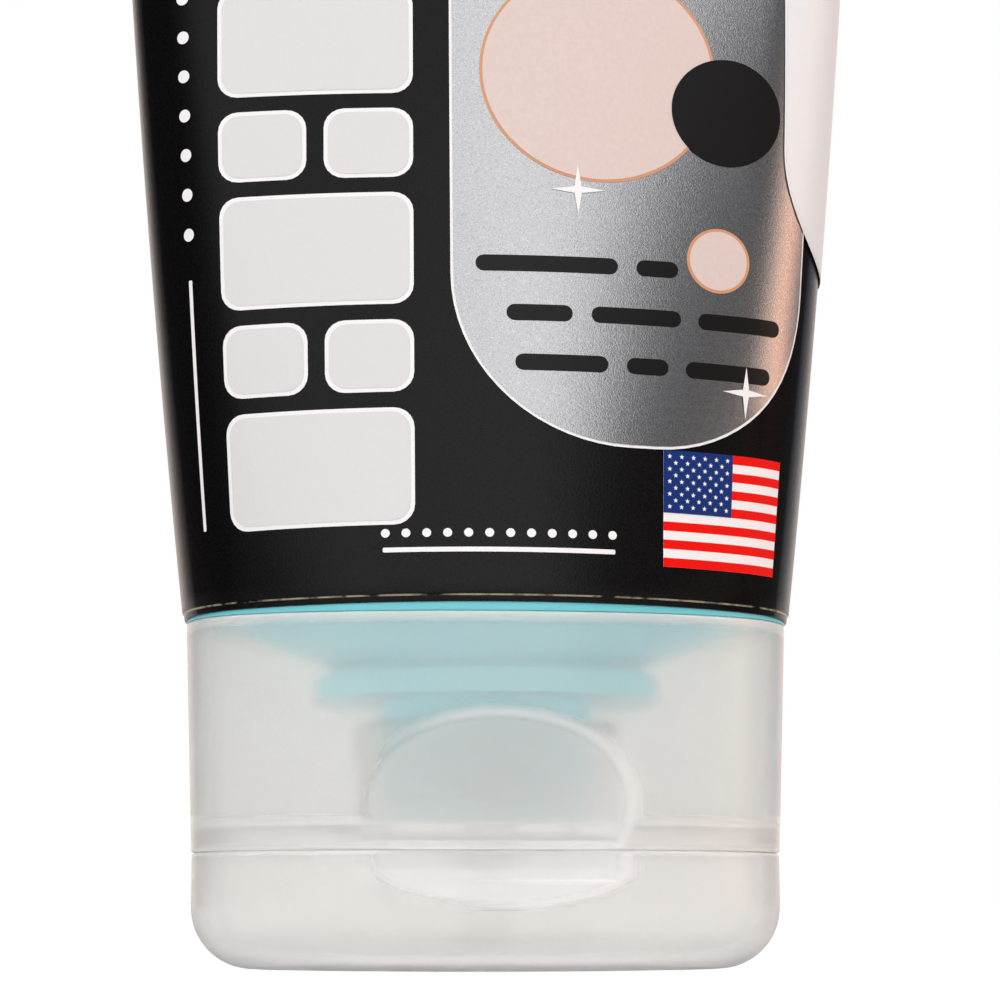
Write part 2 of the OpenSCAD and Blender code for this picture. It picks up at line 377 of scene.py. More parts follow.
class Mesh:
    """Builds and finishes mesh objects in metres."""

    @staticmethod
    def loft(name: str, rings: Rings, smooth: float = 30) -> Piece:
        """Makes a closed skin over rings of points, from a grid whose seams are merged.

        Args:
            name: Name of the piece.
            rings: Rings in millimetres, all with the same number of points. Their fourth column, from 0 to 1,
            says how milky the plastic is, with whiter bands as painted highlights.
            smooth: Angle in degrees below which edges look round.

        Returns:
            The new object.
        """
        n, rows = len(rings[0]), len(rings)
        bpy.ops.mesh.primitive_grid_add(x_subdivisions=n, y_subdivisions=rows - 1, size=1)
        obj = bpy.context.object
        table = np.stack([np.vstack([ring, ring[:1]]) for ring in rings]).astype(np.float32)
        obj.data.vertices.foreach_set("co", (table[:, :, :3] * MM).ravel())
        milk_and_highlight = obj.data.attributes.new(MilkAndHighlight.NAME, "FLOAT", "POINT")
        milk_and_highlight.data.foreach_set("value", table[:, :, 3].ravel())
        obj.name = obj.data.name = name
        Mesh.close(obj, 1e-7)
        Mesh.shade(obj, smooth)
        return obj

    @staticmethod
    def close(obj: Piece, distance: float) -> None:
        """Merges points that meet and turns the faces outward.

        Args:
            obj: Mesh object.
            distance: Largest gap that is merged, in metres.
        """
        with Editing(obj):
            bpy.ops.mesh.remove_doubles(threshold=distance)
            bpy.ops.mesh.select_all(action="SELECT")
            bpy.ops.mesh.dissolve_degenerate(threshold=1e-8)
            bpy.ops.mesh.select_all(action="SELECT")
            bpy.ops.mesh.normals_make_consistent(inside=False)

    @staticmethod
    def shade(obj: Piece, angle: float) -> None:
        """Shades an object smooth below an angle in degrees."""
        Mesh.activate(obj)
        bpy.ops.object.shade_smooth_by_angle(angle=math.radians(angle))

    @staticmethod
    def activate(obj: Piece) -> None:
        """Makes an object the only selected one.

        Args:
            obj: The object.
        """
        bpy.ops.object.select_all(action="DESELECT")
        obj.select_set(True)
        bpy.context.view_layer.objects.active = obj

    @staticmethod
    def join(objects: Sequence[Piece]) -> Piece:
        """Joins objects into the first of them.

        Args:
            objects: Objects to join.

        Returns:
            The first object, with all the meshes.
        """
        Mesh.activate(objects[0])
        for obj in objects:
            obj.select_set(True)
        if len(objects) > 1:
            bpy.ops.object.join()
        return objects[0]


class Editing:
    """Edit mode on one object with everything selected, left again at the end of a with block."""

    def __init__(self, obj: Piece) -> None:
        """Keeps the object.

        Args:
            obj: Mesh object to edit.
        """
        self.obj = obj

    def __enter__(self) -> Piece:
        """Enters edit mode.

        Returns:
            The object.
        """
        Mesh.activate(self.obj)
        bpy.ops.object.mode_set(mode="EDIT")
        bpy.ops.mesh.select_all(action="SELECT")
        return self.obj

    def __exit__(self, *_: object) -> None:
        """Leaves edit mode."""
        bpy.ops.object.mode_set(mode="OBJECT")


@dataclass
class CapMaker:
    """Models the two halves of the flip-top cap and the strap between them."""

    form: Form
    ovals: Ovals
    front_y: float = 5.0
    edge_r: float = 0.15
    rim_r: float = 0.16
    inner_rim_r: float = 0.25
    fillet_r: float = 0.3
    chamfer: float = 0.1
    outer_rounding: float = 0.55
    inner_rounding: float = 0.3
    lid_rounding: float = 0.8
    land_slope: float = 3.0
    land_rounding: float = 0.08
    fine_step: float = 0.17
    inner_step: float = 0.3
    coarse_step: float = 0.8
    outer_fine_z: float = 19.4
    inner_fine_z: float = 19.9
    wave_z: float = 20.5
    wave_h: float = 5.0
    # Sizes of the painted highlights on the recess's rounded edge and on the fold at its foot, strongest at
    # the top and towards the right.
    fold_highlight_spread: float = 0.2
    fold_highlight_depth: float = 0.1
    floor_depth: float = 0.3
    edge_highlight_spread: float = 0.45
    least_highlight: float = 0.15
    highlight_from_x: float = -5.0
    highlight_ramp_w: float = 9.0
    top_highlight_spread: float = 1.6
    top_highlight: float = 0.8
    plug_fillet_r: float = 0.25
    plug_tip_r: float = 0.6
    strap_gap: float = 0.04
    strap_fold: float = 0.2
    strap_rows: int = 12
    fold_share: float = 1.3 / 1.6
    fold_slope: float = 1.6

    def _base_limit(self, z: float, side: Side) -> float:
        """Returns how far the base's front may stand out at a height, because of the recess.

        Args:
            z: Height.
            side: Side of the wall.

        Returns:
            The largest distance from the axis.
        """
        f = self.form
        r = f.recess_r + (f.wall if side is Side.INNER else 0)
        dz = abs(z - f.recess_mid_z)
        if dz >= r:
            return FAR
        return f.recess_y + f.recess_r - math.sqrt(r**2 - dz**2)

    def _lid_limit(self, z: float, side: Side) -> float:
        """Returns how far the lid's front may stand out at a height, because of the recess.

        Args:
            z: Height.
            side: Side of the wall.

        Returns:
            The largest distance from the axis.
        """
        f = self.form
        y_out = f.foot_d / 2 + f.outline(f.parting_z) - f.lid_inset
        slope = (y_out - f.recess_y) / (f.recess_floor_z - f.recess_low_z)
        grow = f.wall if side is Side.INNER else 0
        drop = grow * math.sqrt(1 + slope**-2)
        ramp = f.recess_y + (f.recess_floor_z - drop - z) * slope
        return float(smooth_max(np.array(f.recess_y - grow), np.array(ramp), self.lid_rounding))

    def _recess_milk_and_highlights(self, x: np.ndarray, z: np.ndarray, cut: np.ndarray, rounding: float) -> np.ndarray:
        """Returns how milky the front is: the recess's milkier floor, with painted highlights along its
        rounded edge and on the fold at its foot, strongest at the top and towards the right.

        Args:
            x: Distances to the right.
            z: Heights.
            cut: How far the recess cuts each point back.
            rounding: Rounding of the recess's edge.

        Returns:
            One value a point.
        """
        f = self.form
        # Painted highlights: the fold at the recess's foot and its rounded edge are whitened, most towards
        # the right and at the top.
        fold = bell(z - f.recess_floor_z, self.fold_highlight_spread) * smoothstep(cut / self.fold_highlight_depth)
        right, top = smoothstep((x - self.highlight_from_x) / self.highlight_ramp_w), bell(z - f.recess_top_z, self.top_highlight_spread)
        highlight_strength = self.least_highlight + (1 - self.least_highlight) * np.minimum(1, right + self.top_highlight * top)
        floor = MilkAndHighlight.over_wall(MilkAndHighlight.RECESS, smoothstep(cut / self.floor_depth))
        edge = MilkAndHighlight.over_wall(MilkAndHighlight.RECESS_EDGE_HIGHLIGHT, bell(cut, self.edge_highlight_spread * rounding) * highlight_strength)
        return np.maximum(np.maximum(floor, edge), MilkAndHighlight.over_wall(MilkAndHighlight.RECESS_FOLD_HIGHLIGHT, fold * highlight_strength))

    def _shape(
        self, ring: np.ndarray, limit: float, rounding: float, lands: Optional[tuple[float, float]]
    ) -> np.ndarray:
        """Presses the recess into a ring and raises the hinge's land at the back.

        Args:
            ring: Ring of points.
            limit: How far the front may stand out.
            rounding: Rounding of the recess's edge.
            lands: Lowest and highest height of the land, or None.

        Returns:
            The shaped ring.
        """
        f = self.form
        out = ring.copy()
        x, y, z, _ = ring.T
        front, back = y < -self.front_y, y > self.front_y
        out[front, 1] = -smooth_min(-y[front], np.full(front.sum(), limit), rounding)
        # Milkiness of the recess, with its painted highlights.
        out[front, 3] = self._recess_milk_and_highlights(x[front], z[front], -y[front] - limit, rounding)
        if lands is not None:
            above = np.maximum(0, np.maximum(lands[0] - z, z - lands[1]))
            off = above + np.maximum(0, np.abs(x) - f.hinge_w / 2)
            out[back, 1] = smooth_max(y[back], f.land_y - self.land_slope * off[back], self.land_rounding)
        return out

    def _wall(
        self,
        points: Iterable[tuple[float, float]],
        limit: Callable[[float, Side], float],
        side: Side,
        lands: Optional[tuple[float, float]] = None,
        painted_highlight_bands: Sequence[tuple[float, float, float]] = (),
    ) -> Rings:
        """Returns shaped rings for a wall's section.

        Args:
            points: The section, as (half width, height).
            limit: Gives how far the front may stand out at a height.
            side: Side of the wall.
            lands: Lowest and highest height of the hinge's land.
            painted_highlight_bands: Heights of bands whitened as painted highlights, each with its spread and
                milkiness.

        Returns:
            The rings.
        """
        rounding = self.outer_rounding if side is Side.OUTER else self.inner_rounding
        rings = [self._shape(self.ovals.oval(w, z), limit(z, side), rounding, lands) for w, z in points]
        for ring in rings:
            z = ring[:, 2].copy()
            ring[:, 3] = MilkAndHighlight.WALL if side is Side.INNER else np.maximum(ring[:, 3], MilkAndHighlight.WALL)
            # Painted highlights: bands of the wall are whitened by height.
            for height, spread, milk_and_highlight in painted_highlight_bands:
                mask = smoothstep(1.5 - np.abs(z - height) / spread)
                ring[:, 3] = np.maximum(ring[:, 3], MilkAndHighlight.over_wall(milk_and_highlight, mask))
            ring[:, 2] += self.form.rim_wave(ring[:, 1]) * smoothstep((z - self.wave_z) / self.wave_h)
        return rings

    def _base_outside(self) -> Rings:
        """Returns the base's outer wall, from the parting line over the rim.

        Returns:
            The rings.
        """
        f, edge, rim = self.form, self.edge_r, self.rim_r
        low_w, top_w = f.cap_w(f.parting_z), f.cap_w(f.rim_z)
        points = corner(low_w - edge, f.parting_z + edge, edge, -90, 0, 4)
        points += walk([points[-1], (f.cap_w(self.outer_fine_z), self.outer_fine_z)], self.fine_step)[1:]
        points += walk([points[-1], (top_w, f.rim_z - rim)], self.coarse_step)[1:]
        points += corner(top_w - rim, f.rim_z - rim, rim, 0, 90, 6)[1:]
        land_z = f.parting_z + f.hinge_h / 2
        # Painted highlights at the parting edge, at the deck's height and at the rim.
        painted_highlight_bands = (
            (f.parting_z, 0.2, MilkAndHighlight.EDGE_HIGHLIGHT),
            ((f.deck_z + f.deck_low_z) / 2, 1.1, MilkAndHighlight.DECK_LINE_HIGHLIGHT),
            (f.rim_z, 0.32, MilkAndHighlight.EDGE_HIGHLIGHT),
        )
        return self._wall(points, self._base_limit, Side.OUTER, (land_z, land_z + f.land_h), painted_highlight_bands)

    def _base_inside(self) -> Rings:
        """Returns the base's inner wall, from the rim down to the deck.

        Returns:
            The rings.
        """
        f, rim = self.form, self.inner_rim_r
        points = corner(f.cap_w(f.rim_z) - f.wall + rim, f.rim_z - rim, rim, 90, 180, 4)
        low = (f.cap_w(self.inner_fine_z) - f.wall, self.inner_fine_z)
        points += walk([points[-1], low], self.coarse_step)[1:]
        points += walk([points[-1], (f.cap_w(f.deck_z) - f.wall, f.deck_z)], self.inner_step)[1:]
        return self._wall(points, self._base_limit, Side.INNER)

    def base(self) -> Piece:
        """Makes the cap's base with its deck, nozzle and inner skirt in one piece.

        Returns:
            The base.
        """
        f, o, fillet = self.form, self.ovals, self.fillet_r
        low_w = f.cap_w(f.parting_z) - f.wall
        rings = self._base_outside() + self._base_inside()
        rings += self._frost(span(rings.pop(), o.round(f.skirt_out_r, f.deck_z), 5))
        skirt_mid, skirt_half = (f.skirt_in_r + f.skirt_out_r) / 2, (f.skirt_out_r - f.skirt_in_r) / 2
        rings += o.pipe((f.skirt_out_r, f.deck_z), (f.skirt_out_r, f.skirt_z - 0.3), 4)
        rings += o.rounds(corner(skirt_mid, f.skirt_z - skirt_half, skirt_half, 0, 180, 8))
        rings += o.pipe((f.skirt_in_r, f.skirt_z - 0.6), (f.skirt_in_r, f.deck_z), 4)
        rings += o.pipe((f.skirt_in_r, f.deck_z), (f.orifice_r + fillet, f.deck_z), 4)
        rings += o.rounds(corner(f.orifice_r + fillet, f.deck_z - fillet, fillet, 90, 180, 4))
        nozzle_mid, nozzle_half = (f.orifice_r + f.nozzle_r) / 2, (f.nozzle_r - f.orifice_r) / 2
        rings += o.rounds(corner(nozzle_mid, f.nozzle_z + nozzle_half, nozzle_half, 180, 360, 10))
        foot = [
            (f.cap_w(f.deck_low_z) - f.wall, f.deck_low_z),
            (low_w, f.parting_z + self.chamfer),
            (low_w + self.chamfer, f.parting_z),
        ]
        low = self._wall(foot, self._base_limit, Side.INNER)
        rings += self._frost(span(o.round(f.nozzle_r, f.deck_low_z), low[0], 5)) + low
        rings.append(rings[0])
        return Mesh.loft("cap_base_shell", self._fill(rings))

    @staticmethod
    def _frost(rings: Rings) -> Rings:
        """Makes the deck's faces milkier than the walls.

        Args:
            rings: Rings of the deck.

        Returns:
            The same rings.
        """
        for ring in rings:
            ring[:, 3] = MilkAndHighlight.DECK
        return rings

    @staticmethod
    def _fill(rings: Rings) -> Rings:
        """Gives the round inner parts, which have no milkiness yet, that of the skirt.

        Args:
            rings: All rings of a piece.

        Returns:
            The same rings.
        """
        for ring in rings:
            ring[:, 3] = np.maximum(ring[:, 3], MilkAndHighlight.SKIRT)
        return rings

    def lid(self) -> Piece:
        """Makes the lid with its sealing plug in one piece.

        Returns:
            The lid.
        """
        f, o, edge, tip = self.form, self.ovals, self.edge_r, self.plug_tip_r
        w, fillet = f.cap_w(f.parting_z) - f.lid_inset, self.plug_fillet_r
        land_z = f.parting_z - f.hinge_h / 2
        outer = corner(w - f.lid_edge_r, f.lid_edge_r, f.lid_edge_r, -90, 0, 26)
        outer += walk([outer[-1], (w, f.lid_top_z - edge)], self.fine_step)[1:]
        outer += corner(w - edge, f.lid_top_z - edge, edge, 0, 90, 4)[1:]
        inner = corner(w - f.wall + self.chamfer, f.lid_top_z - self.chamfer, self.chamfer, 90, 180, 2)
        inner += walk([inner[-1], (w - f.wall, f.lid_edge_r)], self.inner_step)[1:]
        inner += corner(w - f.lid_edge_r, f.lid_edge_r, f.lid_edge_r - f.wall, 0, -90, 16)[1:]
        # Painted highlight along the lid's edge at the parting line.
        painted_highlight_bands = ((f.lid_top_z, 0.2, MilkAndHighlight.EDGE_HIGHLIGHT),)
        shell = self._wall(outer, self._lid_limit, Side.OUTER, (land_z - f.land_h, land_z), painted_highlight_bands)
        pocket = self._wall(inner, self._lid_limit, Side.INNER)
        rings = span(o.round(0, 0), shell[0], 6) + shell + pocket[:-1]
        rings += span(pocket[-1], o.round(f.plug_r + fillet, f.wall), 6)
        rings += o.rounds(corner(f.plug_r + fillet, f.wall + fillet, fillet, 270, 180, 3))
        rings += o.pipe((f.plug_r, f.wall + 0.3), (f.plug_r, f.plug_z - 0.7), 4)
        rings += o.rounds(corner(f.plug_r - tip, f.plug_z - tip, tip, 0, 90, 6) + [(0, f.plug_z)])
        return Mesh.loft("cap_lid_shell", self._fill(rings))

    def strap(self) -> Piece:
        """Makes the hinge strap, thinned along its middle where a real strap folds.

        Returns:
            The strap.
        """
        f = self.form
        bpy.ops.mesh.primitive_cube_add(size=1)
        obj = bpy.context.object
        obj.name = obj.data.name = "hinge_strap"
        mid_y, half_h = f.land_y - f.hinge_t / 2, f.hinge_h / 2
        size = (f.hinge_w - self.strap_gap, f.hinge_t, f.hinge_h - self.strap_gap)
        obj.scale = tuple(side * MM for side in size)
        obj.location = (0, mid_y * MM, f.parting_z * MM)
        bpy.ops.object.transform_apply(location=True, rotation=False, scale=True)
        for z in np.linspace(f.parting_z - half_h, f.parting_z + half_h, self.strap_rows + 1)[1:-1]:
            with Editing(obj):
                bpy.ops.mesh.bisect(plane_co=(0, 0, z * MM), plane_no=(0, 0, 1))
        for vertex in obj.data.vertices:
            share = abs(vertex.co.z / MM - f.parting_z) / half_h
            if vertex.co.y > mid_y * MM:
                thinned = smoothstep(np.array((self.fold_share - share) * self.fold_slope))
                vertex.co.y -= self.strap_fold * MM * float(thinned)
        Mesh.shade(obj, 50)
        return obj


@dataclass
class HeadMaker:
    """Models the tube's moulded head: shoulder, flange, threaded neck and collar."""

    form: Form
    ovals: Ovals
    lip_r: float = 0.06
    lip_gap: float = 0.04
    edge_r: float = 0.15
    mouth_fillet_r: float = 0.3
    collar_taper: float = 0.42
    thread_step: float = 0.1
    thread_share: float = 0.72

    def _thread(self) -> Rings:
        """Returns the neck's rings with a thread that climbs round it and fades at both ends.

        Returns:
            The rings.
        """
        f = self.form
        rings = []
        for z in np.arange(f.neck_z, f.mouth_z + 0.5, -self.thread_step):
            phase = (z - f.mouth_z) / f.thread_pitch - self.ovals.angles / (2 * math.pi)
            away = np.abs(phase - np.floor(phase) - 0.5) * 2
            ridge = smoothstep((self.thread_share - away) / 0.5)
            low, high = z - f.mouth_z - 0.6, (f.neck_z - 0.9 - z) / 0.8
            fade = smoothstep(np.array(low)) * smoothstep(np.array(high))
            rings.append(self.ovals.round(f.neck_r + f.thread_h * ridge * fade, z))
        return rings

    def _rim(self, w: float) -> Rings:
        """Returns the rim that shows between the sleeve and the cap, following the cap's wave.

        Args:
            w: Half width of the rim.

        Returns:
            The rings.
        """
        f, o, r = self.form, self.ovals, self.lip_r
        rings = o.ovals(corner(w - r, f.foot_z - r, r, 90, 0, 3))
        low_z = f.rim_z + self.lip_gap
        lip = o.ovals(corner(w - r, low_z + r, r, 0, -90, 3))
        lip += span(o.oval(w - 0.1, low_z), o.oval(w - 1.4, low_z), 2)
        for ring in lip:
            ring[:, 2] += f.rim_wave(ring[:, 1])
        return rings + lip

    def _shoulder(self, w: float, border_w: float) -> Rings:
        """Returns the shoulder's underside with its step and flange.

        Args:
            w: Half width of the rim.
            border_w: Half width of the flat border's inner edge.

        Returns:
            The rings.
        """
        f, o, r = self.form, self.ovals, self.edge_r
        rings = span(o.oval(w - 1.5, f.border_z), o.oval(border_w, f.border_z), 3)
        rings += span(o.oval(border_w, f.border_z), o.round(f.step_r, f.shoulder_z), 8)
        rings += o.pipe((f.step_r, f.shoulder_z), (f.step_r, f.flange_z), 2)
        rings += o.pipe((f.step_r, f.flange_z), (f.flange_r - r, f.flange_z), 2)
        rings += o.rounds(corner(f.flange_r - r, f.flange_z - r, r, 90, 0, 3))
        rings += o.rounds(corner(f.flange_r - r, f.neck_z + r, r, 0, -90, 3))
        return rings + o.pipe((f.flange_r - 2 * r, f.neck_z), (f.neck_r, f.neck_z), 3)

    def _inside(self, border_w: float) -> Rings:
        """Returns the neck's mouth, the bore, the shoulder's upper side and the collar.

        Args:
            border_w: Half width of the flat border's inner edge.

        Returns:
            The rings.
        """
        f, o, r, wall = self.form, self.ovals, self.mouth_fillet_r, self.form.head_wall
        rings = o.rounds(corner(f.neck_r - r, f.mouth_z + r, r, 0, -90, 4))
        rings += o.rounds(corner(f.bore_r + r, f.mouth_z + r, r, 270, 180, 4))
        rings += o.pipe((f.bore_r, f.mouth_z + 0.4), (f.bore_r, f.shoulder_z + wall), 6)
        top = o.oval(border_w - wall, f.border_z + wall)
        rings += span(o.round(f.step_r - wall, f.shoulder_z + wall), top, 8) + [top]
        w, taper = f.foot_w / 2 - f.collar_inset, self.collar_taper
        high_z = f.foot_z + f.collar_h
        collar = [(w - wall, f.foot_z + wall), (w - wall - taper, high_z), (w - taper, high_z), (w, f.foot_z)]
        return rings + o.ovals(collar)

    def head(self) -> Piece:
        """Makes the head in one piece.

        Returns:
            The head.
        """
        f = self.form
        w, border_w = f.foot_w / 2 - f.rim_inset, f.foot_w / 2 - f.border_w
        rings = []
        for part, milk_and_highlight in (
            (self._rim(w), MilkAndHighlight.HEAD_RIM),
            (self._shoulder(w, border_w), MilkAndHighlight.SHOULDER),
            (self._thread() + self._inside(border_w), MilkAndHighlight.NECK),
        ):
            for ring in part:
                ring[:, 3] = milk_and_highlight
            rings += part
        return Mesh.loft("head_shell", rings + [rings[0]])


class Sleeve:
    """The sleeve's form: every section has the same girth, so the print wraps without stretching."""

    COLUMNS = 360
    FINE = 1440
    GROOVE = 0.12
    GROOVE_H = 0.5
    RIDGE = 0.09
    RIDGE_PITCH = 0.9

    def __init__(self, form: Form) -> None:
        """Makes a table of points over the whole sleeve.

        Args:
            form: Shared sizes.
        """
        self.form = form
        self.share = form.end_r / (form.foot_d / 2)
        self.girth = self._girth(form.foot_w / 2, form.foot_d / 2)
        self.heights = np.concatenate(
            [np.linspace(form.foot_z, form.flat_z, 116), np.linspace(form.flat_z, form.top_z, 8)[1:]]
        )
        self.table = np.stack([self.section(z)[:, :3] for z in self.heights])

    @staticmethod
    def _girth(a: float, b: float) -> float:
        """Returns the girth of an oval of half width a and half depth b."""
        return math.pi * (3 * (a + b) - math.sqrt((3 * a + b) * (a + 3 * b)))

    def _half_sizes(self, z: float) -> tuple[float, float]:
        """Returns the half width and half depth of the sleeve at a height.

        Args:
            z: Height.

        Returns:
            Half width and half depth.
        """
        f = self.form
        share = min(1.0, max(0.0, (z - f.foot_z) / (f.flat_z - f.foot_z)))
        b = f.foot_d / 2 - (f.foot_d - f.crimp_t) / 2 * share
        low, high = f.foot_w / 2, f.foot_w
        for _ in range(30):
            mid = (low + high) / 2
            low, high = (low, mid) if self._girth(mid, b) > self.girth else (mid, high)
        return (low + high) / 2, b

    def section(self, z: float, inset: float = 0.0, flat: float = 1.0) -> np.ndarray:
        """Returns evenly spaced points round the sleeve at a height, from the middle of the back.

        Args:
            z: Height.
            inset: How far inside the outer face.
            flat: Share of the depth that is kept.

        Returns:
            Points, as many as COLUMNS.
        """
        a, b = self._half_sizes(z)
        a, b = a - inset, max(0.02, b - inset)
        r = b * self.share
        big = ((a - r) ** 2 + b**2 - r**2) / (2 * (b - r))
        turn = math.atan2(big - b, a - r)
        quarter = self.FINE // 4
        side = np.linspace(math.pi / 2, turn, quarter, endpoint=False)
        t = np.concatenate([side, np.linspace(turn, 0, quarter)])
        x = np.where(t > turn, big * np.cos(t), a - r + r * np.cos(t))
        y = np.where(t > turn, big * np.sin(t) - (big - b), r * np.sin(t))
        half_x = np.concatenate([x, x[-2::-1]])
        half_y = np.concatenate([y, -y[-2::-1]])
        run = np.concatenate([[0], np.cumsum(np.hypot(np.diff(half_x), np.diff(half_y)))])
        n = self.COLUMNS // 2
        want = np.linspace(0, run[-1], n + 1)
        px, py = np.interp(want, run, half_x), np.interp(want, run, half_y) * flat
        right = np.stack([px, py], 1)
        left = np.stack([-px[-2:0:-1], py[-2:0:-1]], 1)
        ring = np.vstack([right, left])
        return np.column_stack([ring, np.full(len(ring), z), np.zeros(len(ring))])

    def place(self, u: np.ndarray, z: np.ndarray, lift: np.ndarray) -> np.ndarray:
        """Wraps flat print points round the sleeve.

        Args:
            u: Distances to the right of the front's middle.
            z: Heights.
            lift: Distances above the surface.

        Returns:
            Points in space.
        """
        column = (self.COLUMNS / 2 - u / self.girth * self.COLUMNS) % self.COLUMNS
        row = np.interp(z, self.heights, np.arange(len(self.heights)))
        point = self._sample(row, column)
        across = self._sample(row, column + 0.5) - self._sample(row, column - 0.5)
        above, below = np.minimum(row + 0.5, len(self.heights) - 1), np.maximum(row - 0.5, 0)
        up = self._sample(above, column) - self._sample(below, column)
        normal = np.cross(up, across)
        normal /= np.linalg.norm(normal, axis=1)[:, None]
        return point + normal * lift[:, None]

    def _sample(self, row: np.ndarray, column: np.ndarray) -> np.ndarray:
        """Returns points of the table between its rows and columns.

        Args:
            row: Rows, with fractions.
            column: Columns, with fractions.

        Returns:
            Points in space.
        """
        r0 = np.minimum(row.astype(int), len(self.heights) - 2)
        c0 = np.floor(column).astype(int)
        fr, fc = (row - r0)[:, None], (column - c0)[:, None]
        c0, c1 = c0 % self.COLUMNS, (c0 + 1) % self.COLUMNS
        low = self.table[r0, c0] * (1 - fc) + self.table[r0, c1] * fc
        high = self.table[r0 + 1, c0] * (1 - fc) + self.table[r0 + 1, c1] * fc
        return low * (1 - fr) + high * fr

    def shell(self) -> Piece:
        """Makes the sleeve, open at its foot and crimped at its far end.

        Returns:
            The sleeve.
        """
        f, groove = self.form, self.GROOVE
        low, high = f.foot_z, f.foot_z + self.GROOVE_H
        rings = [self.section(f.flat_z - 1.2, f.sleeve_wall, 0.0)]
        rings += [self.section(z, f.sleeve_wall) for z in np.linspace(f.flat_z - 3, low, 60)]
        rings += [self.section(low, groove + 0.12), self.section(low, groove + 0.03)]
        rings += [self.section(low + 0.05, groove), self.section(high - 0.06, groove)]
        rings += [self.section(high, groove * 0.8), self.section(high + 0.07, groove * 0.2)]
        rings += [self.section(z) for z in np.linspace(high + 0.13, f.flat_z - 1, 110)]
        for z in np.linspace(f.flat_z - 0.6, f.top_z - 0.3, 60):
            depth = self.RIDGE if f.flat_z < z < f.top_z - 0.8 else 0.0
            wave = 0.5 - 0.5 * math.cos(2 * math.pi * (z - f.flat_z) / self.RIDGE_PITCH)
            rings.append(self.section(z, depth * wave))
        rings += [self.section(f.top_z - 0.1, 0.08), self.section(f.top_z, 0.3)]
        rings.append(self.section(f.top_z, 0.3, 0.0))
        return Mesh.loft("sleeve_shell", rings, 40)


@dataclass(frozen=True)
class Mark:
    """One flat print shape, in millimetres along and up the sleeve."""

    shape: Shape
    u: float
    z: float
    size: tuple[float, float]
    radius: float = 0.0
    points: int = 5


@dataclass
class Ink:
    """Print shapes of one colour that lie at one height above the sleeve."""

    name: str
    material: bpy.types.Material
    lift: float
    marks: list[Mark] = field(default_factory=list)

    def panel(self, u0: float, u1: float, z0: float, z1: float, radius: float = 0.0) -> "Ink":
        """Adds a panel between two corners."""
        self.marks.append(Mark(Shape.PANEL, (u0 + u1) / 2, (z0 + z1) / 2, (u1 - u0, z1 - z0), radius))
        return self

    def disc(self, u: float, z: float, radius: float) -> "Ink":
        """Adds a disc."""
        self.marks.append(Mark(Shape.DISC, u, z, (radius, radius)))
        return self

    def star(self, u: float, z: float, arm: float, waist: float, points: int = 5) -> "Ink":
        """Adds a star that points up."""
        self.marks.append(Mark(Shape.STAR, u, z, (arm, waist), 0, points))
        return self


